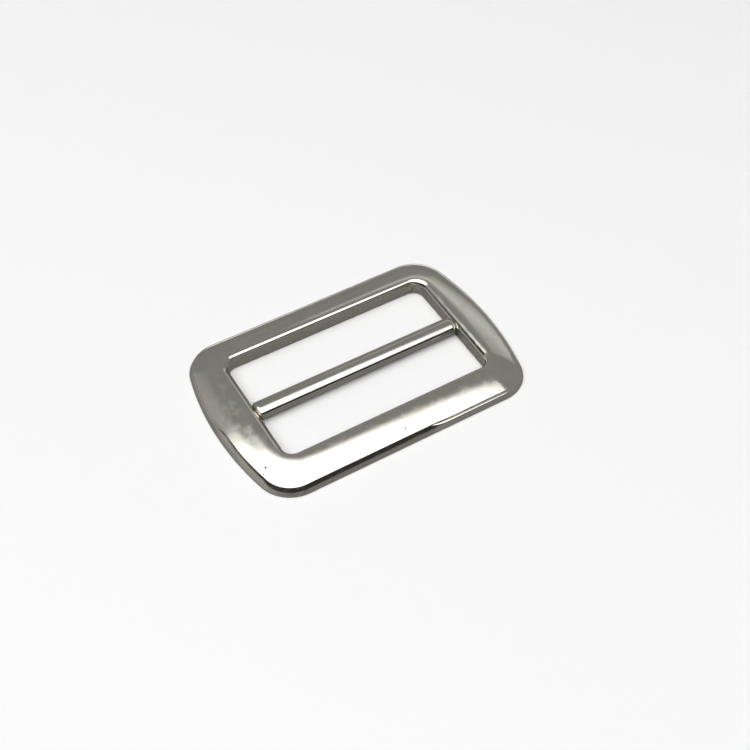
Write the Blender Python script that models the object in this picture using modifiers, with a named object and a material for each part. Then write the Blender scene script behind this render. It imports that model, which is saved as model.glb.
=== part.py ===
"""Bow-ended strap slider: a die-cast frame round one opening, crossed by a centre bar for the webbing.

Metres, +Z up. The slider lies on its flat back at Z = 0, centred on the origin, with its length along X.
Two parts: the frame, and the bar, whose spigots sit in blind sockets in the frame's two end rails.
"""

import math

import bmesh
import bpy

MM = 0.001

# Opening for the webbing, measured between the upright inner walls (mm)
OPENING_LENGTH = 38.0
OPENING_WIDTH = 22.2
OPENING_CORNER_RADIUS = 2.0

# Rails round the opening (mm)
END_RAIL_WIDTH = 7.2
SIDE_RAIL_WIDTH = 6.3
END_BOW_RADIUS = 53.0
OUTER_CORNER_RADIUS = 6.3
THICKNESS = 2.9
EDGE_BREAK = 0.12

# Rounded lip where the crown turns down into the opening (mm)
LIP_END_WIDTH = 0.95
LIP_SIDE_WIDTH = 0.6
LIP_CORNER_GROWTH = 0.7
LIP_DROP = 0.65

# Low rim bead round the outside, at the foot of the crown (mm and degrees)
RIM_WIDTH = 0.85
RIM_HEIGHT = 1.15
RIM_FLAT = 0.2
RIM_TILT = 12.0
BEAD_RADIUS = 0.45
SIDE_TILT = 66.0

# Centre bar (mm)
BAR_WIDTH = 3.4
BAR_RECESS = 0.15
BAR_LIFT = 0.05
BAR_END_ROUND = 0.2
SPIGOT_DIAMETER = 1.0
SPIGOT_LENGTH = 1.5
FIT_GAP = 0.3

# Faceting
END_STEPS = 6
CORNER_STEPS = 8
SIDE_STEPS = 5
LIP_STEPS = 4
CROWN_STEPS = 8
BEAD_STEPS = 3
BAR_SIDES = 40
SPIGOT_SIDES = 24
BAR_ROUND_STEPS = 2
SMOOTH_ANGLE = math.radians(35)

PARTS = "strap_slider"
CUTTERS = "strap_slider_cutters"

NICKEL = (0.66, 0.64, 0.59, 1.0)
NICKEL_ROUGHNESS = 0.2
BAR_NICKEL = (0.62, 0.60, 0.55, 1.0)
BAR_ROUGHNESS = 0.24


def clear_scene():
    for obj in list(bpy.data.objects):
        bpy.data.objects.remove(obj)


def new_collection(name):
    collection = bpy.data.collections.new(name)
    bpy.context.scene.collection.children.link(collection)
    return collection


def metal(name, colour, roughness):
    material = bpy.data.materials.new(name)
    material.use_nodes = True
    shader = material.node_tree.nodes["Principled BSDF"]
    shader.inputs["Base Color"].default_value = colour
    shader.inputs["Metallic"].default_value = 1.0
    shader.inputs["Roughness"].default_value = roughness
    return material


def arc(centre, radius, start, end, steps):
    """Points along an arc, without its last one, which the next stretch begins with."""
    angles = [start + (end - start) * i / steps for i in range(steps)]
    return [(centre[0] + radius * math.cos(a), centre[1] + radius * math.sin(a)) for a in angles]


def line(start, end, steps):
    """Points along a line, without its last one."""
    shares = [i / steps for i in range(steps)]
    return [(start[0] + (end[0] - start[0]) * s, start[1] + (end[1] - start[1]) * s) for s in shares]


def closed_loop(quarter, top):
    """A full outline from its first quadrant, which runs from the +X end towards the +Y side."""
    upper = quarter + [top] + [(-x, y) for x, y in reversed(quarter)]
    lower = [(x, -y) for x, y in reversed(upper[1:-1])]
    return upper + lower


def opening_outline(grow_length, grow_width, grow_radius):
    """The round-cornered rectangle of the opening, with each side moved outwards."""
    half_length = OPENING_LENGTH / 2 + grow_length
    half_width = OPENING_WIDTH / 2 + grow_width
    radius = OPENING_CORNER_RADIUS + grow_radius
    corner = (half_length - radius, half_width - radius)
    quarter = line((half_length, 0.0), (half_length, corner[1]), END_STEPS)
    quarter += arc(corner, radius, 0.0, math.pi / 2, CORNER_STEPS)
    quarter += line((corner[0], half_width), (0.0, half_width), SIDE_STEPS)
    return closed_loop(quarter, (0.0, half_width))


def outer_outline(inset):
    """The outside of the frame moved inwards: bowed ends that run into straight sides through round corners."""
    half_length = OPENING_LENGTH / 2 + END_RAIL_WIDTH - inset
    half_width = OPENING_WIDTH / 2 + SIDE_RAIL_WIDTH - inset
    bow = END_BOW_RADIUS - inset
    radius = OUTER_CORNER_RADIUS - inset
    bow_centre = half_length - bow
    rise = half_width - radius
    reach = math.sqrt((bow - radius) ** 2 - rise**2)
    join = math.atan2(rise, reach)
    quarter = arc((bow_centre, 0.0), bow, 0.0, join, END_STEPS)
    quarter += arc((bow_centre + reach, rise), radius, join, math.pi / 2, CORNER_STEPS)
    quarter += line((bow_centre + reach, half_width), (0.0, half_width), SIDE_STEPS)
    return closed_loop(quarter, (0.0, half_width))


def at_height(outline, height):
    return [(x, y, height) for x, y in outline]


def lip_rings():
    """From the top of the upright wall, over a quarter-ellipse, to the crest of the crown."""
    rings = []
    for i in range(LIP_STEPS + 1):
        angle = math.pi / 2 * i / LIP_STEPS
        out = 1 - math.cos(angle)
        outline = opening_outline(LIP_END_WIDTH * out, LIP_SIDE_WIDTH * out, LIP_CORNER_GROWTH * out)
        rings.append(at_height(outline, THICKNESS - LIP_DROP * (1 - math.sin(angle))))
    return rings


def crown_rings():
    """From the crest down to the rim's crease, ever steeper, as a parabola."""
    crest = opening_outline(LIP_END_WIDTH, LIP_SIDE_WIDTH, LIP_CORNER_GROWTH)
    crease = outer_outline(RIM_WIDTH)
    rings = []
    for i in range(1, CROWN_STEPS + 1):
        share = i / CROWN_STEPS
        height = THICKNESS - (THICKNESS - RIM_HEIGHT) * share**2
        pairs = zip(crest, crease)
        rings.append([(a + (c - a) * share, b + (d - b) * share, height) for (a, b), (c, d) in pairs])
    return rings


def rim_rings():
    """From the crease over the narrow flat and the bead to the foot of the drafted side."""
    tilt = math.radians(RIM_TILT)
    flat_inset = RIM_WIDTH - RIM_FLAT
    flat_height = RIM_HEIGHT - RIM_FLAT * math.tan(tilt)
    centre_inset = flat_inset + BEAD_RADIUS * math.sin(tilt)
    centre_height = flat_height - BEAD_RADIUS * math.cos(tilt)
    rings = []
    for i in range(BEAD_STEPS + 1):
        angle = math.radians(RIM_TILT + (SIDE_TILT - RIM_TILT) * i / BEAD_STEPS)
        inset = centre_inset - BEAD_RADIUS * math.sin(angle)
        rings.append(at_height(outer_outline(inset), centre_height + BEAD_RADIUS * math.cos(angle)))
    rings.append(at_height(outer_outline(0.0), EDGE_BREAK))
    return rings


def frame_rings():
    """Every outline round the frame's section: up the inner wall, over the top, down the side, under the back."""
    rings = [at_height(opening_outline(EDGE_BREAK, EDGE_BREAK, EDGE_BREAK), 0.0)]
    rings.append(at_height(opening_outline(0.0, 0.0, 0.0), EDGE_BREAK))
    rings += lip_rings()
    rings += crown_rings()
    rings += rim_rings()
    rings.append(at_height(outer_outline(EDGE_BREAK), 0.0))
    return rings


def finish_mesh(bm, name):
    bmesh.ops.recalc_face_normals(bm, faces=bm.faces)
    mesh = bpy.data.meshes.new(name)
    bm.to_mesh(mesh)
    bm.free()
    mesh.shade_smooth()
    mesh.set_sharp_from_angle(angle=SMOOTH_ANGLE)
    return mesh


def loft_mesh(name, rings):
    """A closed ring of quads between each outline and the next, the last joined to the first."""
    bm = bmesh.new()
    loops = [[bm.verts.new((x * MM, y * MM, z * MM)) for x, y, z in ring] for ring in rings]
    for near, far in zip(loops, loops[1:] + loops[:1]):
        for i in range(len(near)):
            j = (i + 1) % len(near)
            bm.faces.new((near[i], near[j], far[j], far[i]))
    return finish_mesh(bm, name)


def rod_mesh(name, length, width, height, sides):
    """A rod along X about the origin, round or oval, from a unit cylinder."""
    bm = bmesh.new()
    bmesh.ops.create_cone(bm, cap_ends=True, segments=sides, radius1=0.5, radius2=0.5, depth=1.0)
    for vert in bm.verts:
        x, y, z = vert.co
        vert.co = (z * length * MM, y * width * MM, x * height * MM)
    return finish_mesh(bm, name)


def add_object(name, mesh, collection, location=(0.0, 0.0, 0.0)):
    obj = bpy.data.objects.new(name, mesh)
    obj.location = [value * MM for value in location]
    collection.objects.link(obj)
    return obj


def add_cutter(name, mesh, collection, location):
    obj = add_object(name, mesh, collection, location)
    obj.hide_render = True
    obj.display_type = "WIRE"
    return obj


def add_boolean(obj, operation, other):
    modifier = obj.modifiers.new(other.name, "BOOLEAN")
    modifier.operation = operation
    modifier.solver = "EXACT"
    modifier.object = other


def bar_top():
    return THICKNESS - BAR_RECESS


def bar_centre_height():
    return (BAR_LIFT + bar_top()) / 2


def make_frame(parts, cutters):
    """The die-cast frame, with a blind socket for a bar spigot in each end rail."""
    frame = add_object("frame", loft_mesh("frame", frame_rings()), parts)
    socket_diameter = SPIGOT_DIAMETER + 2 * FIT_GAP
    socket_span = OPENING_LENGTH + 2 * (SPIGOT_LENGTH + FIT_GAP)
    bore = rod_mesh("socket_bore", socket_span, socket_diameter, socket_diameter, SPIGOT_SIDES)
    cutter = add_cutter("socket_bore", bore, cutters, (0.0, 0.0, bar_centre_height()))
    add_boolean(frame, "DIFFERENCE", cutter)
    frame.data.materials.append(metal("nickel_frame", NICKEL, NICKEL_ROUGHNESS))
    return frame


def make_centre_bar(parts, cutters):
    """The oval bar across the middle of the opening, with a round spigot on each end."""
    body_length = OPENING_LENGTH - 2 * FIT_GAP
    body = rod_mesh("centre_bar", body_length, BAR_WIDTH, bar_top() - BAR_LIFT, BAR_SIDES)
    place = (0.0, 0.0, bar_centre_height())
    bar = add_object("centre_bar", body, parts, place)
    bevel = bar.modifiers.new("end_round", "BEVEL")
    bevel.width = BAR_END_ROUND * MM
    bevel.segments = BAR_ROUND_STEPS
    bevel.limit_method = "ANGLE"
    bevel.angle_limit = math.radians(60)
    span = OPENING_LENGTH + 2 * SPIGOT_LENGTH
    pin = rod_mesh("bar_spigots", span, SPIGOT_DIAMETER, SPIGOT_DIAMETER, SPIGOT_SIDES)
    add_boolean(bar, "UNION", add_cutter("bar_spigots", pin, cutters, place))
    bar.data.materials.append(metal("nickel_bar", BAR_NICKEL, BAR_ROUGHNESS))
    return bar


def main():
    clear_scene()
    parts = new_collection(PARTS)
    cutters = new_collection(CUTTERS)
    make_frame(parts, cutters)
    make_centre_bar(parts, cutters)


main()
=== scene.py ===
"""Looks of the strap slider: nickel-plated die-cast frame and centre bar, on a pale studio table.

Metres, +Z up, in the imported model's frame: the slider lies on its back, with its length along X.
"""

import math

import bpy
from mathutils import Matrix, Vector, noise


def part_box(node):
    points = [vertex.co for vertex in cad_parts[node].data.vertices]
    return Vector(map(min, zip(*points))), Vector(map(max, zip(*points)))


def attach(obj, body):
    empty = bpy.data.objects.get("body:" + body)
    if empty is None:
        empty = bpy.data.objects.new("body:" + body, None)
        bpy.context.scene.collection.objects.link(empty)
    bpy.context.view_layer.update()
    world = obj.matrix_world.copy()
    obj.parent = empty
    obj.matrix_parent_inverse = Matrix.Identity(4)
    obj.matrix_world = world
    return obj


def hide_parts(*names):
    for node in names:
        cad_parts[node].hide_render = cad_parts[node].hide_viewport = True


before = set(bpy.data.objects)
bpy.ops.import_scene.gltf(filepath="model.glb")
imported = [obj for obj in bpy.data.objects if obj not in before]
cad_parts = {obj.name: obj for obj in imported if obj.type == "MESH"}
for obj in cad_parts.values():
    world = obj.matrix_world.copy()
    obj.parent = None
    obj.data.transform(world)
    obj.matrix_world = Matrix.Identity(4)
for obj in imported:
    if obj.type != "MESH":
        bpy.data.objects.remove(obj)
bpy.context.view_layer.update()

MM = 0.001

# Overall sizes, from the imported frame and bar
FRAME_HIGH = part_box("frame")[1]
BAR_LOW, BAR_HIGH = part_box("centre_bar")
HALF_LENGTH = FRAME_HIGH.x
HALF_WIDTH = FRAME_HIGH.y
THICKNESS = FRAME_HIGH.z
BAR_CENTRE = (BAR_LOW.z + BAR_HIGH.z) / 2

# Opening and rails
END_RAIL_WIDTH = 7.2 * MM
SIDE_RAIL_WIDTH = 6.3 * MM
OPENING_RADIUS = 2.0 * MM
END_BOW_RADIUS = 53.0 * MM
OUTER_RADIUS = 6.3 * MM
EDGE_BREAK = 0.12 * MM
OPEN_HALF_LENGTH = HALF_LENGTH - END_RAIL_WIDTH
OPEN_HALF_WIDTH = HALF_WIDTH - SIDE_RAIL_WIDTH

# Lip round the opening: it leaves the crest at LIP_SLOPE. Along the sides it rounds over into the wall,
# and along the ends it stays a steep bevel. A fullness is how far across the curve's handle reaches.
LIP_SLOPE = 0.3
LIP_END_WIDTH = 0.95 * MM
LIP_END_DROP = 0.86 * MM
LIP_END_FULLNESS = 0.5
LIP_SIDE_WIDTH = 0.60 * MM
LIP_SIDE_DROP = 0.68 * MM
LIP_SIDE_FULLNESS = 0.85
LIP_CORNER_GROWTH = 0.7 * MM

# Round the opening's corners the crown's slope begins before the lip, by this share of the slope
CORNER_START = 0.08
CORNER_SPREAD = 2.9 * MM

# Rim bead round the outside, with a fine groove at the foot of the crown
RIM_WIDTH = 0.85 * MM
RIM_HEIGHT = 1.15 * MM
RIM_FLAT = 0.2 * MM
RIM_TILT = math.radians(12)
BEAD_RADIUS = 0.45 * MM
SIDE_TILT = math.radians(66)
GROOVE_DEPTH = 0.06 * MM
GROOVE_WIDTH = 0.16 * MM

# On the near side the rim has been polished into one rolled edge. ROLLED_X and ROLLED_Y say where that begins
# and where it is full, and the rest is its section.
ROLLED_X = (8.0 * MM, 3.5 * MM)
ROLLED_Y = (5.0 * MM, -2.0 * MM)
ROLL_START = 1.0 * MM
ROLL_LIFT = 0.10 * MM
ROLL_INSET = 0.55 * MM
ROLL_HEIGHT = 0.88 * MM
ROLL_BULGE = 0.012 * MM

# Centre bar: its body stops just short of the end walls, with rounded-over ends. Pins carry it into them.
BAR_CLEARANCE = 0.05 * MM
BAR_END_ROUND = 0.62 * MM
PIN_RADIUS = 0.5 * MM

# Casting marks on the upright inner walls: each bump's place, width and height. A ripple is a size and
# a depth, on the walls and, far fainter, on the polished faces.
WALL_BUMPS = (
    (Vector((17.4, 11.05, 1.25)) * MM, 0.46 * MM, 0.42 * MM),
    (Vector((16.2, 11.1, 1.10)) * MM, 0.34 * MM, 0.20 * MM),
    (Vector((18.6, 10.3, 1.05)) * MM, 0.36 * MM, 0.24 * MM),
)
WALL_RIPPLES = ((0.55 * MM, 0.030 * MM), (0.21 * MM, 0.012 * MM))
POLISH_RIPPLES = ((4.2 * MM, 0.004 * MM), (1.2 * MM, 0.0008 * MM))

# How rough-cast the surfaces that nobody polished are, and how worn the edges are, from nought to one.
# The crest is the lip's last few rings.
WALL_CAST = 1.0
SIDE_CAST = 0.25
BACK_CAST = 0.7
BAR_CAST = 0.5
LIP_WEAR = 0.2
CREST_WEAR = 1.0
CREST_RINGS = 2
RIM_WEAR = 0.8

# Mesh steps
END_STEPS = 48
CORNER_STEPS = 36
SIDE_STEPS = 84
WALL_STEPS = 14
LIP_STEPS = 12
CROWN_STEPS = 34
CROWN_CROWDING = 1.25
GROOVE_STEPS = 4
BEAD_STEPS = 10
SIDE_RINGS = 5
BACK_STEPS = 16
BAR_SIDES = 96
BAR_STEPS = 150
ROUND_STEPS = 10

# Camera: it looks down at the slider across its near left corner
CAMERA_AIM = Vector((1.79, -2.92, 1.40)) * MM
CAMERA_DISTANCE = 208.34 * MM
CAMERA_AZIMUTH = math.radians(32.22)
CAMERA_ELEVATION = math.radians(50.0)
CAMERA_ROLL = math.radians(1.5)
CAMERA_LENS = 60.3
CAMERA_SENSOR = 36.0
CAMERA_NEAR = 0.01

# Nickel's colours
FRAME_NICKEL = (0.665, 0.642, 0.570)
FRAME_SMOKY = (0.615, 0.598, 0.535)
BAR_NICKEL = (0.645, 0.622, 0.555)
BAR_SMOKY = (0.595, 0.578, 0.52)
CAST_TINT = (0.52, 0.495, 0.42)
WORN_TINT = (0.74, 0.70, 0.60)
PIT_TINT = (0.10, 0.095, 0.08)

# Nickel's patterns: each one's scale per millimetre and its detail
GRAIN = (3.5, 5.0)
CLOUDS = (0.22, 3.0)
HAZE = (0.9, 4.0)
PEEL = (1.3, 2.0)
LINES = (1.0, 3.0)
LINES_ON_SIDES = (0.35, 9.0, 9.0)
LINES_ON_ENDS = (9.0, 0.35, 9.0)
PIT_SCALE = 0.55

# Each lays a pattern's range, the first two numbers, on a share of tint or on a roughness, the last two
CLOUD_SHARE = (0.35, 0.68, 0.0, 1.0)
GRAIN_SHARE = (0.4, 0.65, 0.1, 0.8)
WEAR_SHARE = (0.45, 0.7, 0.0, 0.6)
PIT_SHAPE = (0.03, 0.09, 1.0, 0.0)
PIT_CHOICE = (0.80, 0.84, 0.0, 1.0)
HAZE_ROUGHNESS = (0.38, 0.72, 0.085, 0.165)
CLOUD_ROUGHNESS = (0.4, 0.7, 0.0, 0.04)
GRAIN_ROUGHNESS = (0.3, 0.7, 0.18, 0.36)
LINE_ROUGHNESS = (0.55, 0.75, 0.0, 0.05)
PIT_ROUGHNESS = (0.0, 1.0, 0.0, 0.3)
PIT_FLOOR = (0.0, 1.0, 1.0, 0.0)

# How deep each pattern goes
PEEL_RELIEF = 0.0022 * MM
LINE_RELIEF = 0.0005 * MM
GRAIN_RELIEF = 0.05 * MM
PIT_RELIEF = 0.02 * MM

# Two specks in the plating, on the crown near one corner: each one's place, core and radius in millimetres
SPECKS = (
    ((-22.85, -10.84, 2.00), 0.125, 0.25),
    ((-23.59, -11.51, 1.48), 0.085, 0.17),
)

# A Mix node has its colour sockets under the same names as its other ones, so they go by number
MIX_FIRST = 6
MIX_SECOND = 7
MIX_RESULT = 2

# Stage, in metres. The window is a soft-edged sheet overhead. Its outline is in plan, for a height of one,
# with the half-width of its soft edge at each corner.
FLOOR_HALF = 0.8
TABLE_HALF = 3.0
TABLE_LIFT = 0.005 * MM
FLOOR_ALBEDO = 0.92
TABLE_ALBEDO = 0.26
WINDOW_HEIGHT = 0.9
WINDOW_GLOW = 2.35
WINDOW_SPAN = ((-1.5, 0.8), (-1.2, 1.25))
WINDOW_STEPS = 80
WINDOW_OUTLINE = (
    (-1.06, 0.83, 0.10),
    (-0.88, 0.78, 0.13),
    (-0.73, 0.73, 0.12),
    (-0.60, 0.69, 0.09),
    (-0.53, 0.62, 0.07),
    (-0.40, 0.59, 0.06),
    (-0.22, 0.59, 0.06),
    (-0.10, 0.55, 0.08),
    (0.01, 0.43, 0.12),
    (0.12, 0.30, 0.13),
    (0.22, 0.17, 0.13),
    (0.31, 0.08, 0.11),
    (0.40, -0.08, 0.08),
    (0.54, -0.38, 0.06),
    (0.66, -0.80, 0.05),
    (0.56, -1.00, 0.04),
    (0.00, -1.04, 0.03),
    (-0.70, -0.85, 0.03),
    (-1.08, -0.38, 0.03),
    (-1.25, 0.20, 0.03),
    (-1.33, 0.80, 0.05),
)

# Strip of light: points along its middle, and the half-width at each
STRIP_POINTS = ((0.303, 0.750, 0.588), (0.670, 0.562, 0.485), (0.927, 0.375, 0.0))
STRIP_HALF_WIDTHS = (0.08, 0.20, 0.20)
STRIP_GLOW = 0.72

# Room. Each fade is where a change of tone begins and is full. The dark band's go by how far a direction
# points to its side and upwards, and the pale part's by the direction's bearing from +Y in radians.
ROOM_GREY = (0.29, 0.29, 0.29)
ROOM_PALE = (0.44, 0.44, 0.44)
ROOM_DARK = (0.035, 0.035, 0.035)
ROOM_WHITE = (0.97, 0.97, 0.97)
ROOM_PALE_FADE = (-0.44, -0.72)
ROOM_DARK_SIDE = (-0.725, -0.688, 0.0)
ROOM_SIDE_FADE = (0.05, 0.20)
ROOM_TOP_FADE = (0.72, 0.60)
ROOM_FOOT_FADE = (0.22, 0.33)


def arc(centre, radius, start, end, steps):
    """Points along an arc, without its last one, which the next stretch begins with."""
    angles = [start + (end - start) * i / steps for i in range(steps)]
    return [(centre[0] + radius * math.cos(a), centre[1] + radius * math.sin(a)) for a in angles]


def line(start, end, steps):
    """Points along a line, without its last one."""
    shares = [i / steps for i in range(steps)]
    return [(start[0] + (end[0] - start[0]) * s, start[1] + (end[1] - start[1]) * s) for s in shares]


def closed_loop(quarter, top):
    """A full outline from its first quadrant, which runs from the +X end towards the +Y side."""
    upper = quarter + [top] + [(-x, y) for x, y in reversed(quarter)]
    lower = [(x, -y) for x, y in reversed(upper[1:-1])]
    return upper + lower


def opening_outline(grow_length, grow_width, grow_radius):
    """The round-cornered rectangle of the opening, with each side moved outwards."""
    half_length = OPEN_HALF_LENGTH + grow_length
    half_width = OPEN_HALF_WIDTH + grow_width
    radius = OPENING_RADIUS + grow_radius
    corner = (half_length - radius, half_width - radius)
    quarter = line((half_length, 0.0), (half_length, corner[1]), END_STEPS)
    quarter += arc(corner, radius, 0.0, math.pi / 2, CORNER_STEPS)
    quarter += line((corner[0], half_width), (0.0, half_width), SIDE_STEPS)
    return closed_loop(quarter, (0.0, half_width))


def outer_outline(inset):
    """The outside of the frame moved inwards: bowed ends, round corners and straight sides."""
    half_length = HALF_LENGTH - inset
    half_width = HALF_WIDTH - inset
    bow = END_BOW_RADIUS - inset
    radius = OUTER_RADIUS - inset
    bow_centre = half_length - bow
    rise = half_width - radius
    reach = math.sqrt((bow - radius) ** 2 - rise**2)
    join = math.atan2(rise, reach)
    quarter = arc((bow_centre, 0.0), bow, 0.0, join, END_STEPS)
    quarter += arc((bow_centre + reach, rise), radius, join, math.pi / 2, CORNER_STEPS)
    quarter += line((bow_centre + reach, half_width), (0.0, half_width), SIDE_STEPS)
    return closed_loop(quarter, (0.0, half_width))


def at_height(outline, height):
    return [Vector((x, y, height)) for x, y in outline]


def between(first, second, share):
    """The ring a share of the way from one ring to another."""
    return [a.lerp(b, share) for a, b in zip(first, second)]


def end_share():
    """For each point of an outline: 1 on the ends, 0 on the sides, and a smooth change round the corners."""
    quarter = [1.0] * END_STEPS
    quarter += [math.cos(math.pi / 2 * i / CORNER_STEPS) ** 2 for i in range(CORNER_STEPS)]
    quarter += [0.0] * SIDE_STEPS
    upper = quarter + [0.0] + quarter[::-1]
    return upper + upper[-2:0:-1]


def lip_curve(share, width, drop, fullness):
    """Distance and fall from the crest, on a quadratic curve that leaves it at LIP_SLOPE."""
    handle = 2 * share * (1 - share) * fullness * width
    return handle + share**2 * width, handle * LIP_SLOPE + share**2 * drop


def crest_start(point):
    """The share of the crown's slope already behind at the crest: some at a corner, none elsewhere."""
    corner = Vector((OPEN_HALF_LENGTH, OPEN_HALF_WIDTH))
    away = corner - Vector((abs(point[0]), abs(point[1])))
    return CORNER_START * math.exp(-((away.length / CORNER_SPREAD) ** 2))


def crown_fall(start, share):
    """How far the crown has fallen a share of the way out, ever steeper, as a parabola."""
    return (THICKNESS - RIM_HEIGHT) * (start + (1 - start) * share) ** 2


def lip_ring(share):
    """The lip's outline from the crest, at share 0, to the top of the upright wall, at share 1."""
    end_in, end_fall = lip_curve(share, LIP_END_WIDTH, LIP_END_DROP, LIP_END_FULLNESS)
    side_in, side_fall = lip_curve(share, LIP_SIDE_WIDTH, LIP_SIDE_DROP, LIP_SIDE_FULLNESS)
    left = 1 - (end_in / LIP_END_WIDTH + side_in / LIP_SIDE_WIDTH) / 2
    outline = opening_outline(LIP_END_WIDTH - end_in, LIP_SIDE_WIDTH - side_in, LIP_CORNER_GROWTH * left)
    falls = [side_fall + (end_fall - side_fall) * end for end in end_share()]
    falls = [fall + crown_fall(crest_start(point), 0.0) for point, fall in zip(outline, falls)]
    return [Vector((x, y, THICKNESS - fall)) for (x, y), fall in zip(outline, falls)]


def wall_rings():
    """Up the inner wall, from the rounded bottom edge to the lip."""
    foot = at_height(opening_outline(0.0, 0.0, 0.0), EDGE_BREAK)
    return [between(foot, lip_ring(1.0), i / WALL_STEPS) for i in range(WALL_STEPS)]


def lip_rings():
    return [lip_ring(1 - i / LIP_STEPS) for i in range(LIP_STEPS + 1)]


def crown_rings():
    """From the crest down to the rim, which lies a little further in where its edge is rolled."""
    crest = at_height(opening_outline(LIP_END_WIDTH, LIP_SIDE_WIDTH, LIP_CORNER_GROWTH), 0.0)
    crease = at_height(outer_outline(RIM_WIDTH), 0.0)
    starts = [crest_start(point) for point in crest]
    rings = []
    for i in range(1, CROWN_STEPS + 1):
        step = (i / CROWN_STEPS) ** CROWN_CROWDING
        ring = []
        for inner, outer, start in zip(crest, crease, starts):
            rolled = rolled_share(outer)
            share = step * (1 - rolled * (ROLL_START - RIM_WIDTH) / (outer - inner).length)
            point = inner.lerp(outer, share)
            point.z = THICKNESS - crown_fall(start, share) + rolled * ROLL_LIFT * step**4
            ring.append(point)
        rings.append(ring)
    return rings


def fade(value, start, full):
    """A smooth step from 0 at start to 1 at full."""
    share = min(1.0, max(0.0, (value - start) / (full - start)))
    return share * share * (3 - 2 * share)


def rolled_share(point):
    """How far the rim has been polished into a rolled edge here."""
    return fade(point[0], *ROLLED_X) * fade(point[1], *ROLLED_Y)


def groove_ring(share):
    """A fine round-bottomed groove between the crown and the rim's flat."""
    drop = GROOVE_WIDTH * share * math.tan(RIM_TILT) + GROOVE_DEPTH * math.sin(math.pi * share)
    return at_height(outer_outline(RIM_WIDTH - GROOVE_WIDTH * share), RIM_HEIGHT - drop)


def bead_ring(share):
    """The bead, from the rim's flat to the top of the drafted side."""
    flat_height = RIM_HEIGHT - RIM_FLAT * math.tan(RIM_TILT)
    centre_inset = RIM_WIDTH - RIM_FLAT + BEAD_RADIUS * math.sin(RIM_TILT)
    centre_height = flat_height - BEAD_RADIUS * math.cos(RIM_TILT)
    angle = RIM_TILT + (SIDE_TILT - RIM_TILT) * share
    outline = outer_outline(centre_inset - BEAD_RADIUS * math.sin(angle))
    return at_height(outline, centre_height + BEAD_RADIUS * math.cos(angle))


def roll_ring(foot, share):
    """The rolled edge, evenly from the crown's foot to the top of the drafted side."""
    shoulder = at_height(outer_outline(ROLL_INSET), ROLL_HEIGHT)
    ring = between(foot, shoulder, share)
    for point in ring:
        point.z += ROLL_BULGE * math.sin(math.pi * share)
    return ring


def rim_rings():
    """From the crown's foot over the rim to the drafted side: groove and bead, or the rolled edge."""
    crisp = [groove_ring(i / GROOVE_STEPS) for i in range(1, GROOVE_STEPS + 1)]
    crisp += [bead_ring(i / BEAD_STEPS) for i in range(BEAD_STEPS + 1)]
    foot = crown_rings()[-1]
    rings = []
    for i, ring in enumerate(crisp):
        rolled = roll_ring(foot, (i + 1) / len(crisp))
        rings.append([a.lerp(b, rolled_share(a)) for a, b in zip(ring, rolled)])
    return rings


def side_rings():
    """Down the drafted side to the rounded bottom edge."""
    shoulder = rim_rings()[-1]
    foot = at_height(outer_outline(0.0), EDGE_BREAK)
    return [between(shoulder, foot, i / SIDE_RINGS) for i in range(1, SIDE_RINGS + 1)]


def back_rings():
    """Round the bottom edges and across the flat back to the opening."""
    outer = at_height(outer_outline(EDGE_BREAK), 0.0)
    inner = at_height(opening_outline(EDGE_BREAK, EDGE_BREAK, EDGE_BREAK), 0.0)
    return [between(outer, inner, i / BACK_STEPS) for i in range(BACK_STEPS + 1)]


def ring_mesh(name, rings, closed):
    """Quads between each ring and the next. A closed section joins last to first; an open one is capped."""
    count = len(rings[0])
    points = [point for ring in rings for point in ring]
    faces = []
    for i in range(len(rings) if closed else len(rings) - 1):
        low = i * count
        high = (i + 1) % len(rings) * count
        for j in range(count):
            k = (j + 1) % count
            faces.append((low + j, high + j, high + k, low + k))
    if not closed:
        faces.append(tuple(range(count)))
        faces.append(tuple(range(len(points) - 1, len(points) - count - 1, -1)))
    mesh = bpy.data.meshes.new(name)
    mesh.from_pydata(points, [], faces)
    mesh.shade_smooth()
    return mesh


def add_levels(mesh, name, values):
    """A number for each vertex, for the material to read."""
    mesh.attributes.new(name, "FLOAT", "POINT").data.foreach_set("value", values)


def ripple(point, ripples):
    """Unevenness at a point, up to each ripple's depth either way."""
    return sum(depth * noise.noise(point / size) for size, depth in ripples)


def depth_of(ripples):
    return sum(depth for size, depth in ripples)


def wall_bump(point):
    heights = []
    for centre, width, rise in WALL_BUMPS:
        heights.append(rise * math.exp(-(((point - centre).length / width) ** 2)))
    return sum(heights)


def make_uneven(mesh, levels):
    """Cast walls ripple and bump both ways; polished faces only ever sink, so the overall sizes hold."""
    moved = []
    for vertex, cast in zip(mesh.vertices, levels):
        wall = ripple(vertex.co, WALL_RIPPLES) + wall_bump(vertex.co)
        polished = ripple(vertex.co, POLISH_RIPPLES) - depth_of(POLISH_RIPPLES)
        moved.extend(vertex.co + vertex.normal * (cast * wall + (1 - cast) * polished))
    mesh.vertices.foreach_set("co", moved)
    mesh.update()


def add_piece(name, mesh, material, cad_node):
    piece = bpy.data.objects.new(name, mesh)
    bpy.context.scene.collection.objects.link(piece)
    mesh.materials.append(material)
    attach(piece, "root")
    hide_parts(cad_node)
    return piece


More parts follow.
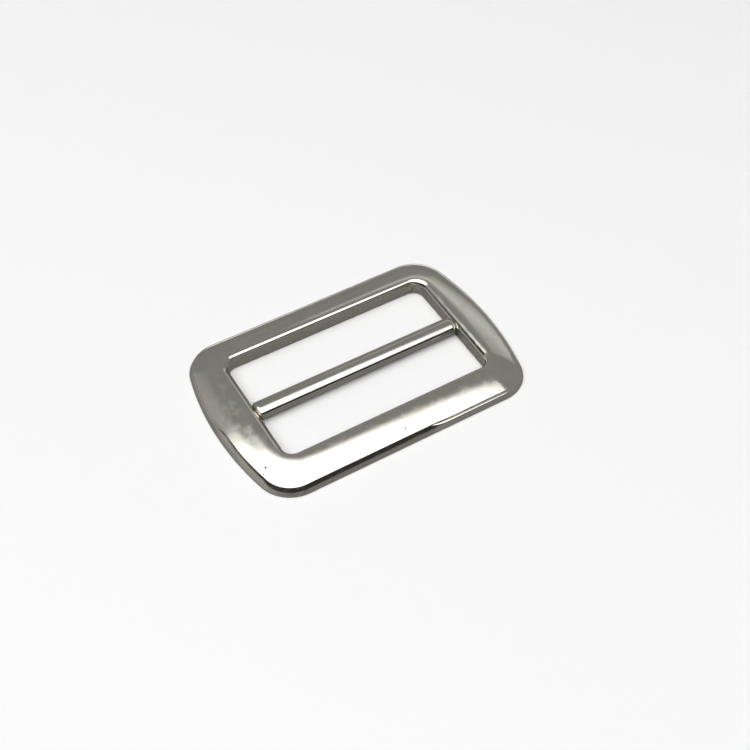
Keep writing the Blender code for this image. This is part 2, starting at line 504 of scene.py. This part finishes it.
def make_frame(material):
    """The frame's mesh, with three levels on it: how rough-cast, how worn, and how far along an end."""
    lip = lip_rings()
    sections = (
        (wall_rings(), WALL_CAST, 0.0),
        (lip[:-CREST_RINGS], 0.0, LIP_WEAR),
        (lip[-CREST_RINGS:], 0.0, CREST_WEAR),
        (crown_rings(), 0.0, 0.0),
        (rim_rings(), 0.0, RIM_WEAR),
        (side_rings(), SIDE_CAST, 0.0),
        (back_rings(), BACK_CAST, 0.0),
    )
    rings = [ring for group, cast, edge in sections for ring in group]
    mesh = ring_mesh("frame_casting", rings, True)
    count = len(rings[0])
    walls = [float(i < WALL_STEPS) for i in range(len(rings)) for j in range(count)]
    make_uneven(mesh, walls)
    add_levels(mesh, "cast", [cast for group, cast, edge in sections for ring in group for j in ring])
    add_levels(mesh, "edge", [edge for group, cast, edge in sections for ring in group for j in ring])
    add_levels(mesh, "end", end_share() * len(rings))
    return add_piece("frame_casting", mesh, material, "frame")


def oval_ring(x, half_width, half_height):
    """One section of the bar. It runs clockwise seen from +X, so that the faces look outwards."""
    angles = [-2 * math.pi * i / BAR_SIDES for i in range(BAR_SIDES)]
    return [Vector((x, half_width * math.cos(a), BAR_CENTRE + half_height * math.sin(a))) for a in angles]


def bar_half():
    """The bar's sections from its middle to the tip of its +X pin."""
    half_width = BAR_HIGH.y
    half_height = (BAR_HIGH.z - BAR_LOW.z) / 2
    body_end = OPEN_HALF_LENGTH - BAR_CLEARANCE
    plain = body_end - BAR_END_ROUND
    rings = [oval_ring(plain * i / BAR_STEPS, half_width, half_height) for i in range(BAR_STEPS)]
    for i in range(ROUND_STEPS + 1):
        angle = math.pi / 2 * i / ROUND_STEPS
        inset = BAR_END_ROUND * (1 - math.cos(angle))
        x = plain + BAR_END_ROUND * math.sin(angle)
        rings.append(oval_ring(x, half_width - inset, half_height - inset))
    rings.append(oval_ring(body_end, PIN_RADIUS, PIN_RADIUS))
    rings.append(oval_ring(BAR_HIGH.x, PIN_RADIUS, PIN_RADIUS))
    return rings


def make_bar(material):
    half = bar_half()
    mirrored = [[Vector((-p.x, p.y, p.z)) for p in ring] for ring in reversed(half[1:])]
    mesh = ring_mesh("bar_casting", mirrored + half, False)
    make_uneven(mesh, [0.0] * len(mesh.vertices))
    underside = [BAR_CAST * fade(BAR_CENTRE - vertex.co.z, 0.0, BAR_CENTRE) for vertex in mesh.vertices]
    add_levels(mesh, "cast", underside)
    add_levels(mesh, "edge", [0.0] * len(mesh.vertices))
    add_levels(mesh, "end", [0.0] * len(mesh.vertices))
    return add_piece("bar_casting", mesh, material, "centre_bar")


def node(tree, kind, settings, **inputs):
    """A shader node with its settings made and its inputs set, or linked where a socket is given."""
    made = tree.nodes.new("ShaderNode" + kind)
    for name, value in settings.items():
        setattr(made, name, value)
    for name, value in inputs.items():
        socket = made.inputs[name.replace("_", " ")]
        if isinstance(value, bpy.types.NodeSocket):
            tree.links.new(value, socket)
        else:
            socket.default_value = value
    return made


def level(tree, name):
    return node(tree, "Attribute", {"attribute_name": name}).outputs["Fac"]


def stretched(tree, place, scale):
    """Object coordinates in millimetres, times a scale for each axis."""
    return node(tree, "Mapping", {}, Vector=place, Scale=[s / MM for s in scale]).outputs["Vector"]


def speckle(tree, vector, scale, detail):
    return node(tree, "TexNoise", {}, Vector=vector, Scale=scale, Detail=detail).outputs["Fac"]


def span(tree, value, low, high, to_low=0.0, to_high=1.0):
    """The value's range from low to high laid smoothly on another range."""
    made = node(tree, "MapRange", {"interpolation_type": "SMOOTHSTEP"}, Value=value)
    for name, number in (("From Min", low), ("From Max", high), ("To Min", to_low), ("To Max", to_high)):
        made.inputs[name].default_value = number
    return made.outputs["Result"]


def combined(tree, operation, first, second):
    """Two values put together by a math operation."""
    made = node(tree, "Math", {"operation": operation})
    for socket, value in zip(made.inputs, (first, second)):
        tree.links.new(value, socket)
    return made.outputs["Value"]


def sum_of(tree, first, second):
    return combined(tree, "ADD", first, second)


def product(tree, first, second):
    return combined(tree, "MULTIPLY", first, second)


def tinted(tree, share, base, colour):
    """The base colour turned towards another colour by a share."""
    made = tree.nodes.new("ShaderNodeMix")
    made.data_type = "RGBA"
    tree.links.new(share, made.inputs["Factor"])
    if isinstance(base, bpy.types.NodeSocket):
        tree.links.new(base, made.inputs[MIX_FIRST])
    else:
        made.inputs[MIX_FIRST].default_value = (*base, 1.0)
    made.inputs[MIX_SECOND].default_value = (*colour, 1.0)
    return made.outputs[MIX_RESULT]


def polishing_lines(tree, place):
    """Fine lines left by the polishing wheel: along X on the sides and the bar, along Y on the ends."""
    along_side = speckle(tree, stretched(tree, place, LINES_ON_SIDES), *LINES)
    along_end = speckle(tree, stretched(tree, place, LINES_ON_ENDS), *LINES)
    return node(tree, "Mix", {}, Factor=level(tree, "end"), A=along_side, B=along_end).outputs["Result"]


def pits(tree, plain):
    """A few tiny pits in the plating, and the specks."""
    cells = node(tree, "TexVoronoi", {"feature": "F1"}, Vector=plain, Scale=PIT_SCALE)
    chosen = node(tree, "SeparateColor", {}, Color=cells.outputs["Color"]).outputs["Red"]
    found = product(tree, span(tree, cells.outputs["Distance"], *PIT_SHAPE), span(tree, chosen, *PIT_CHOICE))
    for centre, core, radius in SPECKS:
        away = node(tree, "VectorMath", {"operation": "DISTANCE"})
        tree.links.new(plain, away.inputs[0])
        away.inputs[1].default_value = centre
        found = sum_of(tree, found, span(tree, away.outputs["Value"], core, radius, 1.0, 0.0))
    return found


def nickel_patterns(tree):
    """The patterns that nickel's tints, roughness and relief are made of."""
    place = tree.nodes.new("ShaderNodeTexCoord").outputs["Object"]
    plain = stretched(tree, place, (1, 1, 1))
    return {
        "cast": level(tree, "cast"),
        "grain": speckle(tree, plain, *GRAIN),
        "clouds": speckle(tree, plain, *CLOUDS),
        "haze": speckle(tree, plain, *HAZE),
        "peel": speckle(tree, plain, *PEEL),
        "lines": polishing_lines(tree, place),
        "pits": pits(tree, plain),
    }


def nickel_colour(tree, patterns, base, smoky):
    """Cloudy plate, browner where it is only cast, paler where it is worn, and dark in the pits."""
    cast = product(tree, patterns["cast"], span(tree, patterns["grain"], *GRAIN_SHARE))
    worn = product(tree, level(tree, "edge"), span(tree, patterns["haze"], *WEAR_SHARE))
    colour = tinted(tree, span(tree, patterns["clouds"], *CLOUD_SHARE), base, smoky)
    colour = tinted(tree, cast, colour, CAST_TINT)
    colour = tinted(tree, worn, colour, WORN_TINT)
    return tinted(tree, patterns["pits"], colour, PIT_TINT)


def nickel_roughness(tree, patterns):
    """Bright plate with a little haze, dull where it is only cast and in the pits."""
    cast = product(tree, patterns["cast"], span(tree, patterns["grain"], *GRAIN_ROUGHNESS))
    hazy = span(tree, patterns["haze"], *HAZE_ROUGHNESS)
    rough = sum_of(tree, hazy, span(tree, patterns["clouds"], *CLOUD_ROUGHNESS))
    rough = sum_of(tree, rough, cast)
    rough = sum_of(tree, rough, span(tree, patterns["lines"], *LINE_ROUGHNESS))
    return sum_of(tree, rough, span(tree, patterns["pits"], *PIT_ROUGHNESS))


def bumped(tree, height, distance, below=None):
    """The normals once a relief is laid over the one below."""
    made = node(tree, "Bump", {}, Height=height, Distance=distance)
    if below is not None:
        tree.links.new(below, made.inputs["Normal"])
    return made.outputs["Normal"]


def nickel_relief(tree, patterns):
    """Faint orange peel and polishing lines, casting grain, and pits."""
    peel = bumped(tree, patterns["peel"], PEEL_RELIEF)
    lined = bumped(tree, patterns["lines"], LINE_RELIEF, peel)
    grained = bumped(tree, product(tree, patterns["cast"], patterns["grain"]), GRAIN_RELIEF, lined)
    return bumped(tree, span(tree, patterns["pits"], *PIT_FLOOR), PIT_RELIEF, grained)


def nickel(name, base, smoky):
    """Polished nickel plate: hazy here and there, finely lined, pitted, and dull where it is only cast."""
    material = bpy.data.materials.new(name)
    material.use_nodes = True
    tree = material.node_tree
    shader = tree.nodes["Principled BSDF"]
    patterns = nickel_patterns(tree)
    tree.links.new(nickel_colour(tree, patterns, base, smoky), shader.inputs["Base Color"])
    tree.links.new(nickel_roughness(tree, patterns), shader.inputs["Roughness"])
    tree.links.new(nickel_relief(tree, patterns), shader.inputs["Normal"])
    shader.inputs["Metallic"].default_value = 1.0
    return material


def make_camera():
    across = math.cos(CAMERA_ELEVATION)
    forward = Vector((
        math.sin(CAMERA_AZIMUTH) * across,
        math.cos(CAMERA_AZIMUTH) * across,
        -math.sin(CAMERA_ELEVATION),
    ))
    turn = forward.to_track_quat("-Z", "Y").to_matrix()
    roll = Matrix.Rotation(CAMERA_ROLL, 3, "Z")
    place = Matrix.Translation(CAMERA_AIM - forward * CAMERA_DISTANCE)
    data = bpy.data.cameras.new("camera")
    data.lens = CAMERA_LENS
    data.sensor_width = CAMERA_SENSOR
    data.clip_start = CAMERA_NEAR
    camera = bpy.data.objects.new("camera", data)
    camera.matrix_world = place @ (turn @ roll).to_4x4()
    bpy.context.scene.collection.objects.link(camera)
    bpy.context.scene.camera = camera


def glowing(strength):
    """Light that is see-through where the sheet's glow attribute is nought and full where it is one."""
    material = bpy.data.materials.new("glowing")
    material.use_nodes = True
    tree = material.node_tree
    tree.nodes.clear()
    clear = tree.nodes.new("ShaderNodeBsdfTransparent").outputs["BSDF"]
    light = node(tree, "Emission", {}, Strength=strength).outputs["Emission"]
    both = node(tree, "MixShader", {}, Fac=level(tree, "glow"))
    tree.links.new(clear, both.inputs[1])
    tree.links.new(light, both.inputs[2])
    node(tree, "OutputMaterial", {}, Surface=both.outputs["Shader"])
    return material


def matt(name, albedo):
    material = bpy.data.materials.new(name)
    material.use_nodes = True
    shader = material.node_tree.nodes["Principled BSDF"]
    shader.inputs["Base Color"].default_value = (albedo, albedo, albedo, 1.0)
    shader.inputs["Roughness"].default_value = 1.0
    shader.inputs["Specular IOR Level"].default_value = 0.0
    return material


def stage_sheet(name, points, faces, material):
    mesh = bpy.data.meshes.new(name)
    mesh.from_pydata(points, [], faces)
    mesh.materials.append(material)
    sheet = bpy.data.objects.new(name, mesh)
    bpy.context.scene.collection.objects.link(sheet)
    return sheet


def grid_faces(rows, columns):
    """Quads between the points of a grid, listed row by row."""
    starts = [i * columns + j for i in range(rows - 1) for j in range(columns - 1)]
    return [(k, k + columns, k + columns + 1, k + 1) for k in starts]


def level_sheet(name, half, height, albedo):
    square = [(-half, -half), (half, -half), (half, half), (-half, half)]
    return stage_sheet(name, at_height(square, height), [(0, 1, 2, 3)], matt(name, albedo))


def make_table():
    """A pale floor for the camera, and the wider, greyer table top that the metal mirrors."""
    floor = level_sheet("floor", FLOOR_HALF, 0.0, FLOOR_ALBEDO)
    floor.visible_glossy = False
    table = level_sheet("table", TABLE_HALF, TABLE_LIFT, TABLE_ALBEDO)
    table.visible_camera = False
    table.visible_diffuse = False
    table.visible_shadow = False


def window_glow(place):
    """The window's share of its full glow at a place in its plan: it fades out across its soft outline."""
    inside = False
    nearest = (math.inf, 0.0)
    for start, end in zip(WINDOW_OUTLINE, WINDOW_OUTLINE[1:] + WINDOW_OUTLINE[:1]):
        side = Vector(end[:2]) - Vector(start[:2])
        reach = place - Vector(start[:2])
        share = min(1.0, max(0.0, reach.dot(side) / side.length_squared))
        softness = start[2] + (end[2] - start[2]) * share
        nearest = min(nearest, ((reach - side * share).length, softness))
        if (start[1] > place.y) != (end[1] > place.y):
            crossing = start[0] + (place.y - start[1]) / (end[1] - start[1]) * side.x
            inside = inside != (place.x < crossing)
    distance, softness = nearest
    return fade(distance if inside else -distance, -softness, softness)


def make_window():
    """The large overhead light, on the camera's side of the slider."""
    (left, right), (near, far) = WINDOW_SPAN
    steps = WINDOW_STEPS
    places = []
    for i in range(steps + 1):
        for j in range(steps + 1):
            places.append(Vector((left + (right - left) * i / steps, near + (far - near) * j / steps)))
    points = [place.to_3d() * WINDOW_HEIGHT + Vector((0.0, 0.0, WINDOW_HEIGHT)) for place in places]
    window = stage_sheet("window", points, grid_faces(steps + 1, steps + 1), glowing(WINDOW_GLOW))
    add_levels(window.data, "glow", [window_glow(place) for place in places])
    window.visible_camera = False


def make_strip():
    """A dim strip of light behind the slider, low on the right, brightest along its middle."""
    middle = [Vector(point) for point in STRIP_POINTS]
    across = middle[0].cross(middle[-1]).normalized()
    glow = [0.0, 1.0, 0.0]
    points = []
    for centre, half_width in zip(middle, STRIP_HALF_WIDTHS):
        points += [centre - across * half_width, centre, centre + across * half_width]
    strip = stage_sheet("strip", points, grid_faces(len(middle), len(glow)), glowing(STRIP_GLOW))
    add_levels(strip.data, "glow", glow * len(middle))
    strip.visible_camera = False
    strip.visible_diffuse = False


def make_room():
    """White to the camera. To the metal the room is grey, paler on the left and dark on the near side."""
    world = bpy.data.worlds.new("room")
    world.use_nodes = True
    tree = world.node_tree
    direction = tree.nodes.new("ShaderNodeTexCoord").outputs["Generated"]
    toward = node(tree, "VectorMath", {"operation": "DOT_PRODUCT"})
    toward.inputs[1].default_value = ROOM_DARK_SIDE
    tree.links.new(direction, toward.inputs[0])
    side = span(tree, toward.outputs["Value"], *ROOM_SIDE_FADE)
    parts = node(tree, "SeparateXYZ", {}, Vector=direction).outputs
    band = product(tree, span(tree, parts["Z"], *ROOM_TOP_FADE), span(tree, parts["Z"], *ROOM_FOOT_FADE))
    bearing = combined(tree, "ARCTAN2", parts["X"], parts["Y"])
    walls = tinted(tree, span(tree, bearing, *ROOM_PALE_FADE), ROOM_GREY, ROOM_PALE)
    mirrored = tinted(tree, product(tree, side, band), walls, ROOM_DARK)
    to_camera = tree.nodes.new("ShaderNodeLightPath").outputs["Is Camera Ray"]
    tree.links.new(tinted(tree, to_camera, mirrored, ROOM_WHITE), tree.nodes["Background"].inputs["Color"])
    bpy.context.scene.world = world


make_camera()
make_table()
make_window()
make_strip()
make_room()
make_frame(nickel("nickel_frame", FRAME_NICKEL, FRAME_SMOKY))
make_bar(nickel("nickel_bar", BAR_NICKEL, BAR_SMOKY))
bpy.context.scene.view_settings.view_transform = "Standard"
